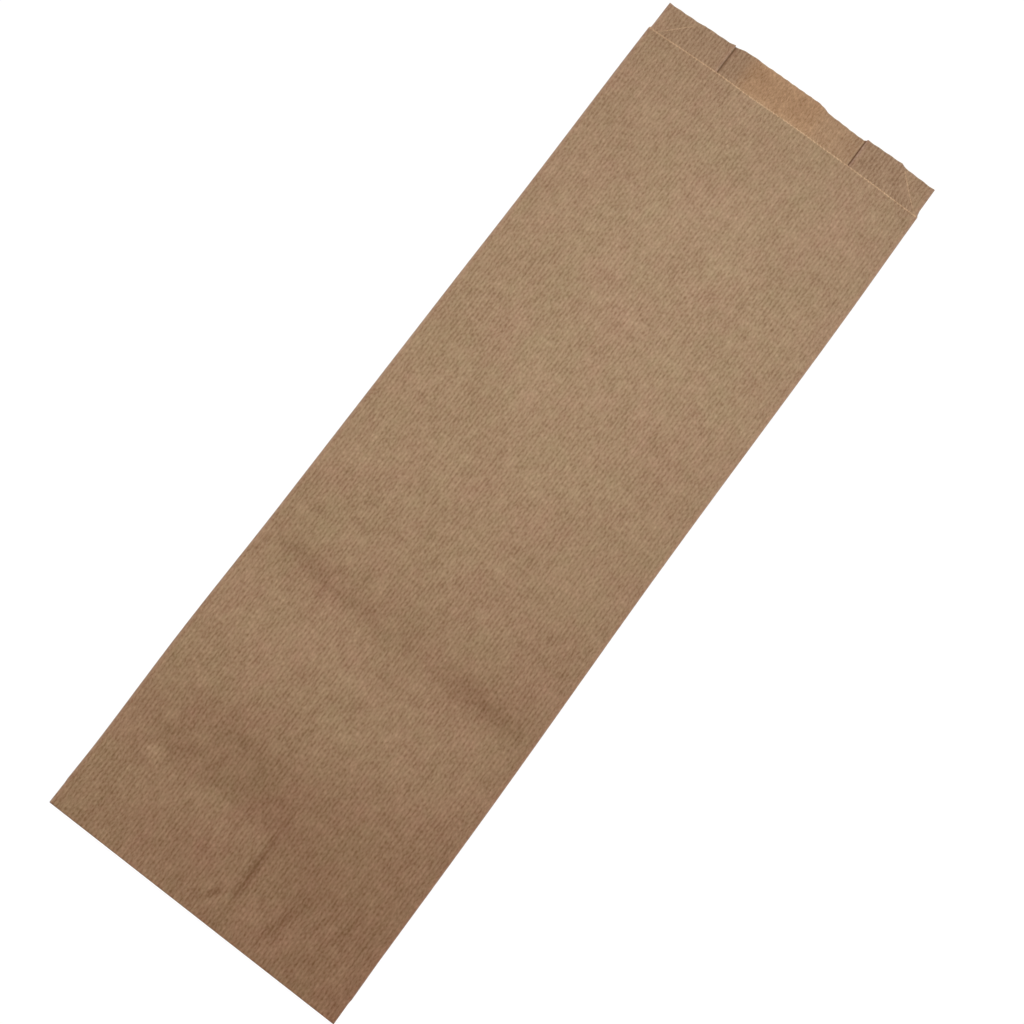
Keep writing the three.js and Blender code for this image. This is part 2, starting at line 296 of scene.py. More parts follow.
def old_fold(x, y):
    fold_y = mix(OLD_FOLD_LEFT_Y, OLD_FOLD_RIGHT_Y, (x / BAG_WIDTH) + 0.5)
    toward_mouth = np.clip(1 - (y - fold_y) / soft_path(x, OLD_FOLD_REACH), 0, 1) ** 2
    toward_bottom = soft_step(y, OLD_FOLD_END, fold_y)
    return -soft_path(x, OLD_FOLD_DROPS) * np.where(y > fold_y, toward_mouth, toward_bottom)


def creases(x, y, only=(-1, 1)):
    """Height of all creases, or of the grooves or the ridges only."""
    height = np.zeros(np.broadcast(x, y).shape)
    for middle_x, middle_y, degrees, half_length, half_width, rise in CREASES:
        way = math.radians(degrees)
        along = (x - middle_x) * math.cos(way) + (y - middle_y) * math.sin(way)
        beside = (y - middle_y) * math.cos(way) - (x - middle_x) * math.sin(way)
        if np.sign(rise) in only:
            height = height + rise * bump(along, half_length) * bump(beside, half_width)
    return height


def ripples(x, y):
    draw = np.random.default_rng(RIPPLE_SEED)
    height = np.zeros(np.broadcast(x, y).shape)
    for _ in range(RIPPLE_COUNT):
        turns = 2 * math.pi / draw.uniform(RIPPLE_SHORTEST, RIPPLE_LONGEST)
        way, phase = draw.uniform(0, 2 * math.pi, 2)
        height = height + np.cos(turns * (x * math.cos(way) + y * math.sin(way)) + phase)
    return height * RIPPLE_HEIGHT / math.sqrt(RIPPLE_COUNT / 2)


def swell(x, y):
    """Share of the full swell, and how far the sheet sags left of the lengthwise step."""
    at_right = soft_step(x, SWELL_STEP_X - SWELL_STEP / 2, SWELL_STEP_X + SWELL_STEP / 2)
    left = soft_path(y, SWELL_LEFT)
    share = mix(left, soft_step(y, bottom_y, bottom_y + SWELL_ENDS), at_right)
    return share, -DIP_LEFT * (1 - at_right) * (1 - left) * sprung(y)


def front_height(x, y):
    """Height of the middle of the front's sheet."""
    half = np.where(x < 0, side_x(y, -1), side_x(y, 1))
    outward = np.clip(np.abs(x) / half, 0, 1)
    at_side = SHEET / 2 + front_lift(y) + 4 * fold_radius(y) + pleat_gap(y)
    crown = mix(CROWN_BODY, CROWN_MOUTH, soft_step(y, front_end_y - CROWN_SETTLES, front_end_y))
    swollen, dip = swell(x, y)
    free_of_bottom = soft_step(y, bottom_y, bottom_y + RELIEF_STARTS)
    relief = (old_fold(x, y) + creases(x, y) + ripples(x, y)) * free_of_bottom + dip
    return (at_side + crown * swollen * (1 - outward ** CROWN_POWER)
            + relief * (1 - outward ** RELIEF_POWER))


print(f"front stands {float(front_height(np.array(0.0), np.array(0.0))):.1f} mm high in the middle")

# %% [markdown]
# ## The lip
#
# Beyond the front's cut edge the back and the gussets go on for 17 mm. Nothing lies on them there.
# The photo shows no shade along the lip, so it lies almost flat, with the back raised by a
# millimetre in its middle and the gussets close on the back. Past a slight lengthwise kink the
# back comes down again.

# %% Heights of the back and of the gussets
LIP_HEIGHTS = [(-50, 0.0), (-28, 1.0), (9, 1.1), (19, 0.3), (38, 0.0)]   # x, height
GUSSET_RESTS_FROM = 30       # this far before the front's cut edge the gussets begin to lie down
GUSSET_ON_BACK = 0.3


def along_lip(y):
    return np.clip((y - front_end_y) / LIP_LENGTH, 0, 1)


def back_height(x, y):
    return SHEET / 2 + back_lift(y) + soft_path(x, LIP_HEIGHTS) * along_lip(y) ** 2


def gusset_height(x, y, side, at_side, above_back, layers):
    """A layer of a gusset, at_side high at the side fold and above_back high at the inner fold."""
    inward = np.clip((side_x(y, side) - np.abs(x)) / (side_x(y, side) - inner_x(y, side)), 0, 1)
    spring = layers * 2 * fold_radius(y) + GUSSET_SPRING * sprung(y)
    resting = soft_step(y, front_end_y - GUSSET_RESTS_FROM, front_end_y)
    at_inner_fold = mix(spring, above_back, resting)
    lip = soft_path(x, LIP_HEIGHTS) * along_lip(y) ** 2
    return SHEET / 2 + back_lift(y) + lip + mix(at_side, at_inner_fold, inward)


def gusset_back_height(x, y, side):
    return gusset_height(x, y, side, 2 * fold_radius(y), GUSSET_ON_BACK, 1)


def gusset_front_height(x, y, side):
    radius = fold_radius(y)
    return gusset_height(x, y, side, 2 * radius + pleat_gap(y), GUSSET_ON_BACK + 2 * radius, 2)


print("back and gusset at the lip's end, mm:", round(float(back_height(0.0, lip_end_y)), 2),
      round(float(gusset_front_height(60.0, lip_end_y, 1)), 2))

# %% [markdown]
# ## Cut ends
#
# Such bags are cut from the tube by a toothed knife, so no cut edge is quite straight: it has
# small teeth. The front is cut a little hollow. The lip's end bows out and steps back past the
# kink. The front layer of each gusset is cut at 45 degrees from the front's edge out to the lip's.

# %% Where each line of the sheet is cut off
TOOTH_PITCH = 2.0
TOOTH_DEPTH = 0.3
CUT_SETBACK_LEFT = 3         # the 45 degree cuts start this far in from the side folds
CUT_SETBACK_RIGHT = 0.5
FRONT_CUT_SAG = 1.4          # the front is cut this much shorter in its middle
CUT_SKEW = 0.6               # the knife went a little askew, so it is longer at the left
LIP_CUT = [(-79, 0.8), (-45, 1.3), (-32, 2.6), (9, 2.3), (18, 0.8),      # x, how far the lip goes on
           (37.4, 0.2), (38.6, 1.0), (60, 1.0), (66, 0.2), (79, -0.3)]


def teeth(x):
    return TOOTH_DEPTH * (2 * np.abs((x / TOOTH_PITCH) % 1 - 0.5) - 0.5)


def askew(x):
    return -CUT_SKEW * x / (BAG_WIDTH / 2)


def front_end(x):
    return front_end_y - FRONT_CUT_SAG * (1 - (2 * x / BAG_WIDTH) ** 2) + askew(x) + teeth(x)


def lip_end(x):
    return lip_end_y - TOOTH_DEPTH / 2 + soft_path(x, LIP_CUT) + teeth(x)


def gusset_front_end(from_side, side):
    setback = CUT_SETBACK_LEFT if side < 0 else CUT_SETBACK_RIGHT
    at_45 = front_end_y + np.clip(from_side - setback, 0, None) + askew(side * BAG_WIDTH / 2)
    return np.minimum(at_45 - TOOTH_DEPTH / 2 + teeth(from_side * math.sqrt(2)),
                      lip_end(side * (BAG_WIDTH / 2 - from_side)))


print(f"the front ends at y = {front_end(0.0):.1f} and the lip at {lip_end(0.0):.1f} in the middle")

# %% [markdown]
# ## Lines round the tube
#
# The sheet is drawn as lines that run from the flap, round the bottom fold, up the bag and to
# the cut end. They follow each other round the tube: over the front from left to right, down
# through the right pleat, back under the bag and up through the left pleat. Each line knows its
# place across the flat sheet, which the paper's ribs need later.

# %% The front's lines
FRONT_STEP = 1.0

lines = []


def add_line(layer, place, end, across, tail):
    """place(y) gives (x, z). tail is how far the sheet goes on past the bottom fold."""
    lines.append({"layer": layer, "place": place, "end": float(end), "across": float(across),
                  "tail": tail})


def add_front(across_start):
    count = round(BAG_WIDTH / FRONT_STEP)
    for k in range(count + 1):
        share = 2 * k / count - 1

        def place(y, share=share):
            x = share * side_x(y, -1 if share < 0 else 1)
            return x, front_height(x, y)
        flat_x = share * BAG_WIDTH / 2
        add_line("front", place, front_end(flat_x), across_start + flat_x + BAG_WIDTH / 2,
                 FLAP_LENGTH)
    return across_start + BAG_WIDTH


across = add_front(0.0)
print(len(lines), "lines over the front")

# %% [markdown]
# ## Lines of the pleats
#
# A side of the bag is a fold, the gusset's front layer, its inner fold, its back layer and one
# more fold. A fold is a half circle between the two layers that it joins. The left side is
# followed the other way, from the back up to the front.

# %% The lines of a side
GUSSET_STEPS = 26
FOLD_LINES = 5


def gusset_lines(layer, side, height, end_at, across_start, tail, inward):
    """One layer of a gusset, from the side fold inward or the other way."""
    shares = np.linspace(0, 1, GUSSET_STEPS + 1)
    for k, share in enumerate(shares if inward else shares[::-1]):
        def place(y, share=share):
            x = side * mix(side_x(y, side), inner_x(y, side), share)
            return x, height(x, y, side)
        from_side = share * GUSSET_DEPTH
        add_line(layer, place, end_at(from_side),
                 across_start + k / GUSSET_STEPS * GUSSET_DEPTH, tail)
    return across_start + GUSSET_DEPTH


def add_fold(layer, side, bulge, fold_x, upper, lower, end, across, tail, downward):
    """A long fold, as a half circle between an upper and a lower layer. bulge is 1 outward, -1 inward."""
    angles = np.linspace(math.pi / 2, -math.pi / 2, FOLD_LINES + 2)[1:-1]
    for angle in (angles if downward else angles[::-1]):
        def place(y, angle=angle):
            x = side * fold_x(y)
            top, low = upper(x, y), lower(x, y)
            radius = (top - low) / 2
            return x + side * bulge * radius * math.cos(angle), (top + low) / 2 + radius * math.sin(angle)
        add_line(layer, place, end, across, tail)


def add_side(side, across_start, downward):
    """One side of the bag from the front down to the back, or back up."""
    def outer_x(y):
        return side_x(y, side)

    def pleat_x(y):
        return inner_x(y, side)

    def front_at(x, y):
        return front_height(x, y)

    def upper_gusset(x, y):
        return gusset_front_height(x, y, side)

    def lower_gusset(x, y):
        return gusset_back_height(x, y, side)

    short = FLAP_LENGTH - FLAP_TONGUE
    front_cut = front_end(side * BAG_WIDTH / 2)
    lip_cut = lip_end(side * BAG_WIDTH / 2)
    inner_cut = lip_end(side * (BAG_WIDTH / 2 - GUSSET_DEPTH))
    parts = [
        lambda s: add_fold("fold", side, 1, outer_x, front_at, upper_gusset, front_cut, s, short,
                           downward),
        lambda s: gusset_lines("gusset_front", side, gusset_front_height,
                               lambda d: gusset_front_end(d, side), s, short, downward),
        lambda s: add_fold("inner_fold", side, -1, pleat_x, upper_gusset, lower_gusset, inner_cut, s,
                           short, downward),
        lambda s: gusset_lines("gusset_back", side, gusset_back_height,
                               lambda d: lip_end(side * (BAG_WIDTH / 2 - d)), s, short, not downward),
        lambda s: add_fold("fold", side, 1, outer_x, lower_gusset, back_height, lip_cut, s, short,
                           downward),
    ]
    across = across_start
    for part in (parts if downward else parts[::-1]):
        across = part(across) or across
    return across


across = add_side(1, across, True)
print(len(lines), "lines with the right side")

# %% [markdown]
# ## Lines of the back
#
# The back has pairs of lines close to each other at both edges of the glued lap, so that the step
# there comes out crisp. With the left side the tube is closed again.

# %% The lines of the back
BACK_STEP = 1.4
SEAM_INSIDE = -39            # the glued lap of the back lies between these two edges
SEAM_OUTSIDE = -25
SEAM_RELAXES = 4             # beyond the lap the sheet comes down to the table over this width
SEAM_STEPS = 9
EDGE_STEP = 0.12             # two lines this close make the step at a cut edge


def back_places():
    """Where the back's lines are, from +X to -X: as shares of the plain parts, or as x on the lap."""
    seam_end = SEAM_OUTSIDE + SEAM_RELAXES
    right_count = round((BAG_WIDTH / 2 - seam_end) / BACK_STEP)
    left_count = round((SEAM_INSIDE + BAG_WIDTH / 2) / BACK_STEP)
    seam = [seam_end, SEAM_OUTSIDE + EDGE_STEP,
            *np.linspace(SEAM_OUTSIDE, SEAM_INSIDE, SEAM_STEPS + 1), SEAM_INSIDE - EDGE_STEP]
    return ([("right", share) for share in np.linspace(1, 0, right_count + 1)[:-1]]
            + [("seam", x) for x in seam]
            + [("left", share) for share in np.linspace(0, 1, left_count + 1)[1:]])


def add_back(across_start):
    for kind, value in back_places():
        def place(y, kind=kind, value=value):
            if kind == "right":
                x = mix(SEAM_OUTSIDE + SEAM_RELAXES, side_x(y, 1), value)
            elif kind == "left":
                x = mix(SEAM_INSIDE - EDGE_STEP, -side_x(y, -1), value)
            else:
                x = np.full(np.shape(y), float(value))
            return x, back_height(x, y)
        flat_x = float(place(np.array(0.0))[0])
        add_line("back", place, lip_end(flat_x), across_start + BAG_WIDTH / 2 - flat_x,
                 FLAP_LENGTH - FLAP_TONGUE)
    return across_start + BAG_WIDTH


across = add_back(across)
girth = add_side(-1, across, False)
print(f"{len(lines)} lines round the tube, {girth:.0f} mm of paper round it")

# %% [markdown]
# ## Rows along the bag
#
# A row is one place on every line. The rows lie close where the shape changes quickly, such as
# the folded end, the old fold and the lip, and far apart on the plain stretch. The last ones are
# shared out over each line's own end, so the cut edges come out true.

# %% Rows
FLAP_ROWS = 5
NOSE_ROWS = 7
LIP_ROWS = 12
TRIM_ZONE = 8                # so far before the front's cut edge each line gets rows of its own
NEAR_CUT = [1.3, 0.6, 0.0]   # the last rows, from the cut edge
NOSE_SHARP = 0.40            # the pressed bottom fold sticks out less than half as far as a round one
NOSE_STANDS_OFF = 0.55       # from the bag's end to where its layers start to turn
NOSE_STEP = 0.3              # a short first row keeps the shade of the turn off the front

nose_y = bottom_y + NOSE_STANDS_OFF
row_stretches = [             # from here on, in steps of about this many millimetres
    (nose_y, NOSE_STEP), (nose_y + NOSE_STEP, 3.0), (tongue_y - FLAP_RAMP - 1, 1.0),
    (tongue_y + 1, 3.0), (flap_end_y, 2.5), (-186, 4.5), (-102, 2.4), (-78, 4.2), (-50, 8.0),
    (front_end_y - TRIM_ZONE, 0)]


def body_rows():
    rows = []
    for (start, step), (end, _) in zip(row_stretches, row_stretches[1:]):
        count = max(1, round((end - start) / step))
        rows += list(np.linspace(start, end, count + 1)[:-1])
    return np.array(rows + [row_stretches[-1][0]])


body_y = body_rows()
row_count = FLAP_ROWS + NOSE_ROWS + len(body_y) + LIP_ROWS + len(NEAR_CUT) - 1
print(f"{row_count} rows, {2 * 2 * row_count * len(lines)} triangles in the sheet")

# %% [markdown]
# ## Bending the lines
#
# Each line is now followed from end to end. Round the bottom fold, every layer turns on the same
# centre, so the front's layer is outermost on the nose of the fold and lowest in the flap. Where
# the lip curls up its length is kept, so its end draws back.

# %% One line as points
FLAP_PRESS = 0.507           # the layers lie closer in the flap than in the tube above it
SMALL = 1e-3                 # mm; keeps rounding out of divisions and comparisons

fold_z = FLAP_LIFT - FOLD_GAP


def line_points(line):
    """Points of the middle of the sheet, and how far along the sheet each one is."""
    x_nose, z_nose = (float(v) for v in line["place"](np.array(nose_y)))
    height = z_nose - fold_z
    tail = np.linspace(line["tail"], 0, FLAP_ROWS + 1)[:-1]
    flap_z = np.full(FLAP_ROWS, fold_z - FLAP_PRESS * height)
    flap = np.stack([np.full(FLAP_ROWS, x_nose), nose_y + tail, flap_z], 1)

    turn = np.linspace(math.pi, 0, NOSE_ROWS + 1)[:-1]
    radius = height * mix(1, FLAP_PRESS, turn / math.pi)
    nose = np.stack([np.full(NOSE_ROWS, x_nose), nose_y - NOSE_SHARP * radius * np.sin(turn),
                     fold_z + radius * np.cos(turn)], 1)

    lip = np.linspace(body_y[-1], line["end"] - NEAR_CUT[0], LIP_ROWS + 1)[1:]
    y = np.concatenate([body_y, lip, line["end"] - np.array(NEAR_CUT[1:])])
    x, z = line["place"](y)
    _, z_flat = line["place"](np.minimum(y, front_end_y))
    along = along_lip(y)
    climb = (z - z_flat) / np.maximum(along, SMALL) ** 2
    # a shallow parabola that rises by h over a length L ends (2 / 3) h ** 2 / L short
    drawn_back = (2 / 3) * climb ** 2 / LIP_LENGTH * along ** 3
    body = np.stack([x, y - drawn_back, z], 1)
    along_sheet = np.concatenate([nose_y - math.pi - tail, nose_y - turn, y])
    return np.concatenate([flap, nose, body]), along_sheet


points, along_sheet = (np.array(part) for part in zip(*map(line_points, lines)))
print("lowest and highest point of the sheet's middle, mm:", points[..., 2].min().round(2),
      points[..., 2].max().round(2))

# %% [markdown]
# ## Both faces of the sheet
#
# Paper has two faces. Both are the middle lines moved half the sheet's thickness along the
# normal, out and in. Along the seam one more layer is glued on, so there the face steps by one
# thickness.

# %% Both faces of the sheet
OUTER, INNER = 0, 1


def layer_is(name):
    """True for the lines of one layer, ready to be spread over the rows."""
    return np.array([line["layer"] == name for line in lines])[:, None]


def sheet_normals(grid):
    round_tube = np.roll(grid, -1, 0) - np.roll(grid, 1, 0)
    lengthwise = np.gradient(grid, axis=1)
    normal = np.cross(round_tube, lengthwise)
    return normal / np.linalg.norm(normal, axis=2, keepdims=True)


def seam_steps(x):
    """How far the lap raises the inner face, and the face below."""
    relaxing = np.clip(1 - (x - SEAM_OUTSIDE) / SEAM_RELAXES, 0, 1)
    on_lap = (x >= SEAM_INSIDE - SMALL) & (x <= SEAM_OUTSIDE + SMALL)
    above = np.where(on_lap, 1.0, np.where(x > SEAM_OUTSIDE, relaxing, 0))
    below = np.where(x > SEAM_OUTSIDE + SMALL, relaxing, 0)
    return above * SHEET, below * SHEET


normals = sheet_normals(points)
faces_at = np.stack([points + normals * SHEET / 2, points - normals * SHEET / 2])
seam_above, seam_below = seam_steps(points[..., 0])
up_the_bag = (np.arange(row_count) >= FLAP_ROWS + NOSE_ROWS)[None, :]
on_seam = layer_is("back") & up_the_bag
faces_at[INNER, ..., 2] += np.where(on_seam, seam_above, 0)
faces_at[OUTER, ..., 2] += np.where(on_seam, seam_below, 0)
print("sheet faces:", faces_at.shape)

# %% [markdown]
# ## Distances that the paper's material needs
#
# Beside its place each point gets a few numbers for the material: where it is on the flat sheet,
# and how far it is from the nearest cut, from the nearest long fold, from the lap's edge, and, on
# the back in the mouth, from the inner fold that lies over it.

# %% Distances on the sheet
LIP_CUT_ZONE = 1             # lines that end this near the lip's end are cut crisply and show no fibres
CUT_AT_45 = 1.4              # makes the light line along the 45 degree cuts narrower


def distance_from_folds(across):
    spans = (BAG_WIDTH, GUSSET_DEPTH, GUSSET_DEPTH, BAG_WIDTH, GUSSET_DEPTH, GUSSET_DEPTH)
    folds = np.concatenate([[0.0], np.cumsum(spans)])
    return np.min(np.abs(across[:, None] - folds[None, :]), 1)


def from_pleats(x, y):
    """How far a place on the back is from the inner fold that lies above it."""
    tip = np.where(x < 0, inner_x(y, -1), inner_x(y, 1)) - fold_radius(y)
    return tip - np.abs(x)


line_across = np.array([line["across"] for line in lines])
line_end = np.array([line["end"] for line in lines])
from_cut = (line_end[:, None] - along_sheet) * np.where(layer_is("gusset_front"), CUT_AT_45, 1)
from_cut[line_end > lip_end_y - LIP_CUT_ZONE] = BAG_LENGTH
from_fold = np.broadcast_to(distance_from_folds(line_across)[:, None], along_sheet.shape)
from_lap = np.where(layer_is("back"), np.abs(points[..., 0] - SEAM_OUTSIDE), BAG_WIDTH)
in_mouth = layer_is("back") & (along_sheet > front_end_y - LIP_LENGTH)
from_pleat = np.where(in_mouth, from_pleats(points[..., 0], along_sheet), BAG_WIDTH)
print("nearest to a cut, mm:", from_cut.min().round(2), "farthest from a fold:", from_fold.max().round(1))

# %% [markdown]
# ## Painted shade and highlight, and painted light from below
#
# Two more numbers say how the paper looks in a place. Grooves get a painted shade, the outer folds
# and the bottom fold a painted shade that also stands for rubbing, and ridges a painted highlight.
# On the lip, one sheet alone lies on the bright table. The light that would come up through it is
# painted into its colour, most where it stands off the table.

# %% Painted shade, highlight and light from below
FOLD_SHADE_AND_RUBBING = 1.4            # mm; the outer folds and the bottom fold get a painted shade, partly rubbing, as dark as a groove this deep
RIDGE_PAINTED_HIGHLIGHT = 0.6             # a ridge gets a painted highlight, lighter by this share of what a groove gets darker
SINGLE_SPREAD = 9            # light spreads sideways in paper, so the lap's edge shows softly
SINGLE_PAST_SEAM = 2
SINGLE_ENDS = (-1, 0.5)      # either side of the right inner fold
SINGLE_STARTS = 6            # inside the mouth
SINGLE_WHEN_FLAT = 0.35
GROOVES, RIDGES = [-1], [1]


def single_layer(x, y):
    """Share of the painted light from below, on the lip from the seam to the right gusset."""
    past_seam = soft_step(x, SEAM_OUTSIDE - SINGLE_SPREAD, SEAM_OUTSIDE + SINGLE_PAST_SEAM)
    fold_at = inner_x(y, 1)
    before_gusset = 1 - soft_step(x, fold_at + SINGLE_ENDS[0], fold_at + SINGLE_ENDS[1])
    raised = mix(SINGLE_WHEN_FLAT, 1, soft_path(x, LIP_HEIGHTS))
    return past_seam * before_gusset * raised * soft_step(y, front_end_y - SINGLE_STARTS, front_end_y)


def crease_shade_and_highlight(x, y):
    return -creases(x, y, GROOVES) - RIDGE_PAINTED_HIGHLIGHT * creases(x, y, RIDGES)


# painted light from below, on the lip's single sheet
single = np.where(layer_is("back"), single_layer(points[..., 0], along_sheet), 0)
# painted shade in the grooves and on the folds, painted highlight on the ridges
painted_shade_and_highlight = np.where(layer_is("front") & up_the_bag, crease_shade_and_highlight(points[..., 0], along_sheet), 0)
on_nose = ~up_the_bag & (np.arange(row_count) >= FLAP_ROWS)[None, :]
painted_shade_and_highlight = np.where(layer_is("fold") | on_nose, FOLD_SHADE_AND_RUBBING, painted_shade_and_highlight)
print("painted shade and highlight from", painted_shade_and_highlight.min().round(2), "to", painted_shade_and_highlight.max().round(2), "mm")

# %% [markdown]
# ## The quads of the sheet
#
# Four points that are neighbours on a face make a quad. The lines close into a tube, so after the
# last one comes the first again. The cut ends join the two faces, so the sheet is one closed solid.

# %% Quads
def sheet_index(face, line, row):
    return (face * len(lines) + line % len(lines)) * row_count + row


def sheet_quads():
    line, row = np.meshgrid(np.arange(len(lines)), np.arange(row_count - 1), indexing="ij")
    line, row = line.ravel(), row.ravel()
    outer = [sheet_index(OUTER, line, row), sheet_index(OUTER, line + 1, row),
             sheet_index(OUTER, line + 1, row + 1), sheet_index(OUTER, line, row + 1)]
    inner = [sheet_index(INNER, line, row), sheet_index(INNER, line, row + 1),
             sheet_index(INNER, line + 1, row + 1), sheet_index(INNER, line + 1, row)]
    ends = np.arange(len(lines))
    top = row_count - 1
    mouth = [sheet_index(OUTER, ends, top), sheet_index(OUTER, ends + 1, top),
             sheet_index(INNER, ends + 1, top), sheet_index(INNER, ends, top)]
    tail = [sheet_index(INNER, ends, 0), sheet_index(INNER, ends + 1, 0),
            sheet_index(OUTER, ends + 1, 0), sheet_index(OUTER, ends, 0)]
    return np.concatenate([np.stack(part, 1) for part in (outer, inner, mouth, tail)])


quads = sheet_quads()
print(len(quads), "quads")

# %% [markdown]
# ## The bag as one mesh
#
# Building a mesh point by point is slow in Python, so the arrays are handed over whole. Blender
# shades smoothly over angles below a limit, which keeps the folds round and the cut edges crisp.

# %% The bag as one mesh
SHARP_FROM = 50              # degrees


def make_mesh(name, corners, faces):
    mesh = bpy.data.meshes.new(name)
    mesh.vertices.add(len(corners))
    mesh.vertices.foreach_set("co", (corners * MM).ravel())
    mesh.loops.add(faces.size)
    mesh.loops.foreach_set("vertex_index", faces.ravel().astype(np.int32))
    mesh.polygons.add(len(faces))
    mesh.polygons.foreach_set("loop_start", np.arange(0, faces.size, faces.shape[1], dtype=np.int32))
    mesh.update(calc_edges=True)
    mesh.validate()
    return mesh


bag_mesh = make_mesh("kraft_bag", faces_at.reshape(-1, 3), quads)
bag_mesh.set_sharp_from_angle(angle=math.radians(SHARP_FROM))
bag = bpy.data.objects.new("kraft_bag", bag_mesh)
bpy.context.scene.collection.objects.link(bag)
print(f"{bag.name}: {len(bag_mesh.vertices)} points, {len(bag_mesh.polygons)} quads")

# %% [markdown]
# ## Numbers stored with the mesh
#
# The numbers for the material go with the points, as attributes. The lap's edge shows on the
# outer face only, and the gap under the gussets on the inner face only, so the other face gets a
# distance too large to matter.

# %% Numbers on the mesh
def keep_number(name, values):
    """Stores one number for each point of the mesh, for the material to read."""
    kept = bag_mesh.attributes.new(name, "FLOAT", "POINT")
    kept.data.foreach_set("value", np.ascontiguousarray(values, np.float32).ravel())


both = (2, len(lines), row_count)
keep_number("across_mm", np.broadcast_to(line_across[None, :, None], both))
keep_number("along_mm", np.broadcast_to(along_sheet[None], both))
keep_number("from_cut_mm", np.broadcast_to(from_cut[None], both))
keep_number("from_fold_mm", np.broadcast_to(from_fold[None], both))
keep_number("from_lap_mm", np.stack([from_lap, np.full(from_lap.shape, BAG_WIDTH)]))
keep_number("from_pleat_mm", np.stack([np.full(from_pleat.shape, BAG_WIDTH), from_pleat]))
keep_number("painted_shade_and_highlight_mm", np.broadcast_to(painted_shade_and_highlight[None], both))
keep_number("inside", np.broadcast_to(np.array([0.0, 1.0])[:, None, None], both))
keep_number("single", np.broadcast_to(single[None], both))
print("kept with each point:", [kept.name for kept in bag_mesh.attributes if kept.data_type == "FLOAT"])

# %% [markdown]
# ## Ribbed kraft paper
#
# Kraft is unbleached wood pulp: brown, matte and faintly cloudy, because the fibres don't spread
# evenly. The ribs are pressed in while the web is wet, five to the centimetre, and run the length
# of the bag. From above they show as darker stripes more than as relief. The fibres lie mostly
# along the ribs too, so the finest grain is drawn out that way. Paper has an IOR near that of
# cellulose, 1.47 to 1.53, no metal, and a roughness around 0.8.
#
# Two helpers make the node work readable. One turns a hex colour to linear values. The other
# adds a node of any kind with its settings, links its inputs and gives back one of its outputs.

# %% Colour and node helpers
def linear(hex_colour):
    def one(code):
        value = int(code, 16) / 255
        return value / 12.92 if value <= 0.04045 else ((value + 0.055) / 1.055) ** 2.4
    return (*(one(hex_colour[k:k + 2]) for k in (1, 3, 5)), 1.0)


def add_node(tree, kind, settings=None, inputs=None, output=0):
    """Adds a node. settings are its own options; inputs are values or outputs to link from."""
    node = tree.nodes.new(kind)
    for name, value in (settings or {}).items():
        setattr(node, name, value)
    for name, value in (inputs or {}).items():
        if isinstance(value, bpy.types.NodeSocket):
            tree.links.new(value, node.inputs[name])
        else:
            node.inputs[name].default_value = value
    return node.outputs[output] if node.outputs else None


print("kraft brown in linear light:", [round(v, 3) for v in linear("#A2866D")[:3]])

# %% [markdown]
# The paper's patterns are worked out on the flat sheet, in millimetres, from the numbers stored
# with the mesh, so they run on unbroken round every fold. One function makes a cloudy pattern of
# a given size, round zero. The ribs are a sine of two millimetres, which wanders a little and is
# stronger in some places than in others. Close to a long fold they are pressed flat.

# %% The paper's patterns
RIB_PITCH = 2.0
RIB_WANDER = 1.0             # radians
RIB_WANDER_SIZE = (30, 120)  # mm across and along the ribs, here and below
RIB_UNEVEN = 0.75
RIB_UNEVEN_SIZE = (5, 22)
PRESSED_WITHIN = (0.6, 3.0)  # mm from a fold: fully pressed, and no longer
RIB_LOST_PRESSED = 0.55
RIB_LOST_LIT = 0.5           # where light comes through the sheet the ribs show less

kraft = bpy.data.materials.new("ribbed_kraft_paper")
kraft.use_nodes = True
tree = kraft.node_tree
tree.nodes.clear()
NUMBERS = ("across_mm", "along_mm", "from_cut_mm", "from_fold_mm", "from_lap_mm", "from_pleat_mm",
           "painted_shade_and_highlight_mm", "inside", "single")
number = {name: add_node(tree, "ShaderNodeAttribute", {"attribute_name": name}, output="Fac")
          for name in NUMBERS}


def cloudy(size, strength, detail=2.0, roughness=0.55, layer=0.0):
    """A pattern round 0. size is its patches' width and length; each layer is another pattern."""
    width_mm, length_mm = size
    x = add_node(tree, "ShaderNodeMath", {"operation": "DIVIDE"}, {0: number["across_mm"], 1: width_mm})
    y = add_node(tree, "ShaderNodeMath", {"operation": "DIVIDE"}, {0: number["along_mm"], 1: length_mm})
    place = add_node(tree, "ShaderNodeCombineXYZ", inputs={"X": x, "Y": y, "Z": layer})
    noise = add_node(tree, "ShaderNodeTexNoise", inputs={
        "Vector": place, "Scale": 1.0, "Detail": detail, "Roughness": roughness})
    return add_node(tree, "ShaderNodeMath", {"operation": "MULTIPLY_ADD"}, {
        0: noise, 1: strength, 2: -strength / 2})


rib_turn = add_node(tree, "ShaderNodeMath", {"operation": "MULTIPLY_ADD"}, {
    0: number["across_mm"], 1: 2 * math.pi / RIB_PITCH, 2: cloudy(RIB_WANDER_SIZE, RIB_WANDER)})
rib_wave = add_node(tree, "ShaderNodeMath", {"operation": "SINE"}, {0: rib_turn})
rib_strength = add_node(tree, "ShaderNodeMath", {"operation": "ADD"}, {
    0: cloudy(RIB_UNEVEN_SIZE, RIB_UNEVEN, layer=3.0), 1: 1.0})
pressed = add_node(tree, "ShaderNodeMapRange", {"interpolation_type": "SMOOTHSTEP"}, {
    "Value": number["from_fold_mm"], "From Min": PRESSED_WITHIN[0], "From Max": PRESSED_WITHIN[1],
    "To Min": 1.0, "To Max": 0.0})
not_pressed = add_node(tree, "ShaderNodeMath", {"operation": "MULTIPLY_ADD"}, {
    0: pressed, 1: -RIB_LOST_PRESSED, 2: 1.0})
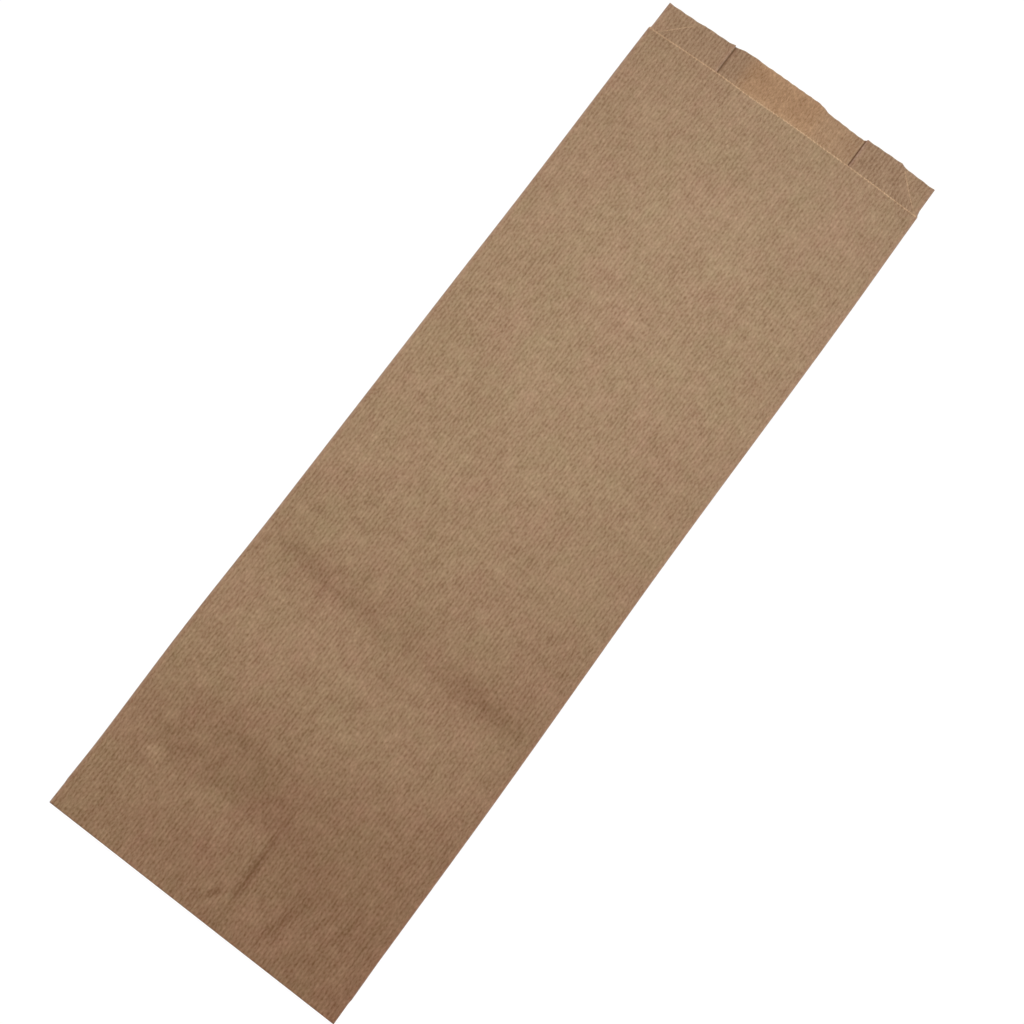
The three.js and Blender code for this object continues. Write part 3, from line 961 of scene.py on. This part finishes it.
opaque = add_node(tree, "ShaderNodeMath", {"operation": "MULTIPLY_ADD"}, {
    0: number["single"], 1: -RIB_LOST_LIT, 2: 1.0})
rib = rib_wave
for factor in (rib_strength, not_pressed, opaque):
    rib = add_node(tree, "ShaderNodeMath", {"operation": "MULTIPLY"}, {0: rib, 1: factor})
print("ribs:", len(tree.nodes), "nodes")

# %% [markdown]
# The brown itself comes from unbleached pulp, rosier in some clouds and greener in others. The
# inner face is a touch darker, a painted shade for the dimmer light in the mouth. Where light would
# come up through a single sheet, it is painted lighter and warmer.

# %% The paper's browns
KRAFT_ROSY = "#A4856D"
KRAFT_OLIVE = "#9F896B"
KRAFT_INSIDE_SHADE = "#9C8167"
KRAFT_PAINTED_LIT_THROUGH = "#B08F6E"
HUE_STRENGTH = 2.7
HUE_SIZE = (30, 40)
INSIDE_SHADE_SHARE = 0.8
PRESSED_SHARE = 0.6

hue = add_node(tree, "ShaderNodeMath", {"operation": "ADD"}, {
    0: cloudy(HUE_SIZE, HUE_STRENGTH, detail=6.0, roughness=0.8, layer=23.0), 1: 0.5})
colour = add_node(tree, "ShaderNodeMix", {"data_type": "RGBA"}, {
    0: hue, 6: linear(KRAFT_OLIVE), 7: linear(KRAFT_ROSY)}, output=2)
# painted shade on the inner face, painted light through a single sheet, and the pressed band's own rosier
# brown
for share, hex_colour, strength in (
        (number["inside"], KRAFT_INSIDE_SHADE, INSIDE_SHADE_SHARE), (number["single"], KRAFT_PAINTED_LIT_THROUGH, 1.0),
        (pressed, KRAFT_ROSY, PRESSED_SHARE)):
    amount = add_node(tree, "ShaderNodeMath", {"operation": "MULTIPLY"}, {0: share, 1: strength})
    colour = add_node(tree, "ShaderNodeMix", {"data_type": "RGBA"}, {
        0: amount, 6: colour, 7: linear(hex_colour)}, output=2)
print("browns:", len(tree.nodes), "nodes")

# %% [markdown]
# Beside the inner folds, in the mouth, the gap under the gusset gets a painted shade. Cut edges and
# folds show as thin light lines, partly broken fibres and partly a painted highlight where they
# catch the light, and the fibres make the lines uneven.

# %% Painted gap shade and light lines
KRAFT_EDGE_FIBRES_AND_HIGHLIGHT = "#C8AA88"
KRAFT_PAINTED_GAP_SHADE = "#66462F"
KRAFT_FOLD_FIBRES_AND_HIGHLIGHT = "#AE9683"
FIBRE_SIZE = (0.62, 1.6)
GAP_WITHIN = (0.5, 1.0)      # mm from the inner fold: full painted shade, and no longer
GAP_SHADE_SHARE = 0.8
LIGHT_FOLD = (0.25, 0.5, 0.4)    # mm wide, mm over which it ends, and how light
LIGHT_LAP = (0.20, 0.3, 0.5)
LIGHT_CUT = (0.45, 0.3, 0.75)

# painted shade in the gap beside each inner fold
gap = add_node(tree, "ShaderNodeMapRange", {"interpolation_type": "SMOOTHSTEP"}, {
    "Value": number["from_pleat_mm"], "From Min": GAP_WITHIN[0], "From Max": GAP_WITHIN[1],
    "To Min": GAP_SHADE_SHARE, "To Max": 0.0})
colour = add_node(tree, "ShaderNodeMix", {"data_type": "RGBA"}, {
    0: gap, 6: colour, 7: linear(KRAFT_PAINTED_GAP_SHADE)}, output=2)
fibres = cloudy(FIBRE_SIZE, 1.0, layer=7.0)
# light lines: broken fibres, and a painted highlight where a cut edge or fold catches the light
for distance, hex_colour, (width, soft, strength) in (
        ("from_fold_mm", KRAFT_FOLD_FIBRES_AND_HIGHLIGHT, LIGHT_FOLD), ("from_lap_mm", KRAFT_EDGE_FIBRES_AND_HIGHLIGHT, LIGHT_LAP),
        ("from_cut_mm", KRAFT_EDGE_FIBRES_AND_HIGHLIGHT, LIGHT_CUT)):
    close = add_node(tree, "ShaderNodeMapRange", {"interpolation_type": "SMOOTHSTEP"}, {
        "Value": number[distance], "From Min": width, "From Max": width + soft,
        "To Min": 1.0, "To Max": 0.0})
    uneven = add_node(tree, "ShaderNodeMath", {"operation": "MULTIPLY_ADD"}, {
        0: fibres, 1: strength, 2: strength})
    amount = add_node(tree, "ShaderNodeMath", {"operation": "MULTIPLY", "use_clamp": True}, {
        0: close, 1: uneven})
    colour = add_node(tree, "ShaderNodeMix", {"data_type": "RGBA"}, {
        0: amount, 6: colour, 7: linear(hex_colour)}, output=2)
print("with gaps and light lines:", len(tree.nodes), "nodes")

# %% [markdown]
# On top of the brown come the shades: fibres finer than a millimetre, the mottling that
# papermakers call formation, wider clouds, and the painted shade and highlight of the creases and
# folds. A shade takes more of the blue than of the red, as the photo's do. The ribs add nearly the
# same amount of red, green and blue, so their ridges are greyer than the grooves.

# %% The paper's shades
FIBRE_SHADE = 1.30
FORMATION_SHADE = 0.60
FORMATION_SIZE = (2.9, 5.4)
BLOTCH_SHADE = 0.33
BLOTCH_SIZE = (7, 10)
CLOUD_SHADE = 0.25
CLOUD_SIZE = (26, 34)
GROOVE_PAINTED_SHADE = 0.26          # painted shade for each millimetre of a groove; ridges get a painted highlight
SHADE_TINT = (0.84, 1.03, 1.22)
RIB_TINT = (0.038, 0.030, 0.022)     # what a ridge adds, in linear light

formation = cloudy(FORMATION_SIZE, 1.0, detail=3.0, layer=11.0)
# the shades start from the painted shade of grooves and folds and the painted highlight of ridges
shade = add_node(tree, "ShaderNodeMath", {"operation": "MULTIPLY"}, {
    0: number["painted_shade_and_highlight_mm"], 1: -GROOVE_PAINTED_SHADE})
for pattern, strength in ((fibres, FIBRE_SHADE), (formation, FORMATION_SHADE),
                          (cloudy(BLOTCH_SIZE, 1.0, layer=13.0), BLOTCH_SHADE),
                          (cloudy(CLOUD_SIZE, 1.0, detail=3.0, layer=17.0), CLOUD_SHADE)):
    shade = add_node(tree, "ShaderNodeMath", {"operation": "MULTIPLY_ADD"}, {
        0: pattern, 1: strength, 2: shade})
tinted = add_node(tree, "ShaderNodeVectorMath", {"operation": "MULTIPLY_ADD"}, {
    0: shade, 1: SHADE_TINT, 2: (1, 1, 1)})
shaded = add_node(tree, "ShaderNodeVectorMath", {"operation": "MULTIPLY"}, {0: colour, 1: tinted})
paper_colour = add_node(tree, "ShaderNodeVectorMath", {"operation": "MULTIPLY_ADD"}, {
    0: rib, 1: RIB_TINT, 2: shaded})
print("with shades:", len(tree.nodes), "nodes")

# %% [markdown]
# For relief the ribs are raised by a few hundredths of a millimetre, with the grain on top and the
# slow hollows of cockled paper below. They are far too low to be worth a finer mesh, so a bump
# node tilts the shading instead.

# %% The paper's relief and finish
RIB_HEIGHT = 0.02 * MM
GRAIN_HEIGHT = 0.03 * MM
COCKLE_HEIGHT = 0.10 * MM            # the small hollows and swellings that damp air leaves in paper
COCKLE_SIZE = (9, 11)
ROUGHNESS = 0.82
ROUGHNESS_VARIES = 0.12
PAPER_IOR = 1.5

grain = add_node(tree, "ShaderNodeMath", {"operation": "ADD"}, {0: fibres, 1: formation})
height = add_node(tree, "ShaderNodeMath", {"operation": "MULTIPLY"}, {0: grain, 1: GRAIN_HEIGHT})
height = add_node(tree, "ShaderNodeMath", {"operation": "MULTIPLY_ADD"}, {
    0: rib, 1: RIB_HEIGHT, 2: height})
height = add_node(tree, "ShaderNodeMath", {"operation": "MULTIPLY_ADD"}, {
    0: cloudy(COCKLE_SIZE, 1.0, detail=3.0, layer=29.0), 1: COCKLE_HEIGHT, 2: height})
relief = add_node(tree, "ShaderNodeBump", inputs={"Strength": 1.0, "Distance": 1.0, "Height": height})
roughness = add_node(tree, "ShaderNodeMath", {"operation": "MULTIPLY_ADD"}, {
    0: fibres, 1: ROUGHNESS_VARIES, 2: ROUGHNESS})
paper = add_node(tree, "ShaderNodeBsdfPrincipled", inputs={
    "Base Color": paper_colour, "Roughness": roughness, "IOR": PAPER_IOR, "Normal": relief})
add_node(tree, "ShaderNodeOutputMaterial", inputs={"Surface": paper})
bag_mesh.materials.append(kraft)
print("ribbed kraft paper:", len(tree.nodes), "nodes")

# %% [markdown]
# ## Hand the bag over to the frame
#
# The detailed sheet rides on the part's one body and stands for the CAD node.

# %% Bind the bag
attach(bag, "root")
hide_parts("bag")

# %% [markdown]
# ## The white sweep
#
# The photo shows the bag on plain, pure white, with no shadow beside it. A light table does that:
# a pane of opal glass, lit evenly from behind, that reflects little of the light from above.

# %% Floor
FLOOR_SIZE = 6.0             # metres
FLOOR_PANE = "#3A3A3A"       # what the pane reflects; its white comes from the lamps behind it
FLOOR_GLOW = 1.0
FLOOR_ROUGHNESS = 0.9
FLOOR_BELOW = 0.05           # mm, so that the pane and the sheet that lies on it don't share a plane

floor_corners = np.array([[-1, -1, 0], [1, -1, 0], [1, 1, 0], [-1, 1, 0]]) * FLOOR_SIZE / 2 / MM
floor_corners[:, 2] = -FLOOR_BELOW
floor_mesh = make_mesh("white_sweep", floor_corners, np.array([[0, 1, 2, 3]]))
floor = bpy.data.objects.new("white_sweep", floor_mesh)
bpy.context.scene.collection.objects.link(floor)
sweep = bpy.data.materials.new("lit_opal_pane")
sweep.use_nodes = True
sweep.node_tree.nodes.clear()
pane = add_node(sweep.node_tree, "ShaderNodeBsdfPrincipled", inputs={
    "Base Color": linear(FLOOR_PANE), "Roughness": FLOOR_ROUGHNESS, "Specular IOR Level": 0.0,
    "Emission Color": linear("#FFFFFF"), "Emission Strength": FLOOR_GLOW})
add_node(sweep.node_tree, "ShaderNodeOutputMaterial", inputs={"Surface": pane})
floor_mesh.materials.append(sweep)
print("white sweep:", FLOOR_SIZE, "m")

# %% [markdown]
# ## Light
#
# Where a slope of the paper turns away from the mouth, the photo gets darker and warmer too. So
# the light that draws the relief is cool and comes in low from beyond the mouth, and a warm lamp
# on the ceiling fills the rest evenly. Two cool lights stand further in. One pools on the upper
# middle, where the bag is brightest, and one on the lower left. The colours are linear.

# %% Lights
LIGHTS = {
    # kind, place and aim in metres, watts, colour, its own settings
    "low_window": ("AREA", (-0.57, 2.66, 1.27), (0, 0, 0), 50, (0.85, 0.90, 0.915),
                   {"shape": "DISK", "size": 1.6}),
    "warm_ceiling": ("AREA", (0, -0.1, 2.4), (0, 0, 0), 14.1, (1.0, 0.16, 0.0),
                     {"shape": "DISK", "size": 1.6}),
    "upper_pool": ("SPOT", (0.50, 0.90, 0.95), (0.01, 0.10, 0), 70, (0.77, 0.95, 0.915),
                   {"spot_size": math.radians(26), "spot_blend": 1.0, "shadow_soft_size": 0.25}),
    "lower_pool": ("SPOT", (0.10, 1.05, 0.85), (-0.15, -0.20, 0), 90, (0.72, 0.99, 0.935),
                   {"spot_size": math.radians(18), "spot_blend": 1.0, "shadow_soft_size": 0.25}),
}

for name, (kind, at, aim, power, white, settings) in LIGHTS.items():
    lamp = bpy.data.lights.new(name, kind)
    lamp.energy, lamp.color = power, white
    for setting, value in settings.items():
        setattr(lamp, setting, value)
    light = bpy.data.objects.new(name, lamp)
    light.location = at
    light.rotation_mode = "QUATERNION"
    light.rotation_quaternion = (Vector(at) - Vector(aim)).to_track_quat("Z", "Y")
    bpy.context.scene.collection.objects.link(light)
    print(f"{name}: {kind.lower()}, {power} W, {light.location.length:.2f} m away")

# %% [markdown]
# The room is dim. Around it the white ground goes on to the horizon, where it fades up into the
# room, so that a view from low down meets no hard edge.

# %% The room and its white horizon
ROOM = (0.055, 0.048, 0.030, 1.0)
HORIZON = (0.86, 0.85, 0.83, 1.0)
HORIZON_FADES = (0.05, 0.30)         # sine of the angle above the horizon, from white to the room

world = bpy.data.worlds.new("surround")
world.use_nodes = True
world.node_tree.nodes.clear()
way = add_node(world.node_tree, "ShaderNodeTexCoord", output="Generated")
upward = add_node(world.node_tree, "ShaderNodeSeparateXYZ", inputs={0: way}, output="Z")
faded = add_node(world.node_tree, "ShaderNodeMapRange", {"interpolation_type": "SMOOTHSTEP"}, {
    "Value": upward, "From Min": HORIZON_FADES[0], "From Max": HORIZON_FADES[1]})
glow = add_node(world.node_tree, "ShaderNodeMix", {"data_type": "RGBA"}, {
    0: faded, 6: HORIZON, 7: ROOM}, output=2)
surround = add_node(world.node_tree, "ShaderNodeBackground", inputs={"Color": glow, "Strength": 1.0})
add_node(world.node_tree, "ShaderNodeOutputWorld", inputs={"Surface": surround})
bpy.context.scene.world = world
bpy.context.scene.view_settings.view_transform = "Standard"
print("world:", len(world.node_tree.nodes), "nodes, white up to", HORIZON_FADES[0])

# %% [markdown]
# ## Camera
#
# The camera's place, its lens and its turn were solved from the photo: from the corners of the
# bag, whose side edges run slightly together. It looks almost straight down from 47 cm.

# %% Camera
LENS_MM = 35.535
SENSOR_MM = 36
CAMERA_AT = Vector((33.51, -54.97, 467.46)) * MM
CAMERA_AIM = Vector((8.18, -10.01, 0)) * MM
BAG_LEANS = math.radians(36.744)   # the mouth points this far to the right of straight up

look = (CAMERA_AIM - CAMERA_AT).normalized()
bag_way = Vector((0, 1, 0))
bag_way = (bag_way - look * bag_way.dot(look)).normalized()
up = bag_way * math.cos(BAG_LEANS) - look.cross(bag_way) * math.sin(BAG_LEANS)
right = look.cross(up)
camera_data = bpy.data.cameras.new("camera")
camera_data.lens = LENS_MM
camera_data.sensor_width = SENSOR_MM
camera_data.clip_start = 10 * MM
camera = bpy.data.objects.new("camera", camera_data)
camera.matrix_world = Matrix.Translation(CAMERA_AT) @ Matrix((right, up, -look)).transposed().to_4x4()
bpy.context.scene.collection.objects.link(camera)
bpy.context.scene.camera = camera
print("camera", [round(v, 3) for v in CAMERA_AT], "m, lens", LENS_MM, "mm")
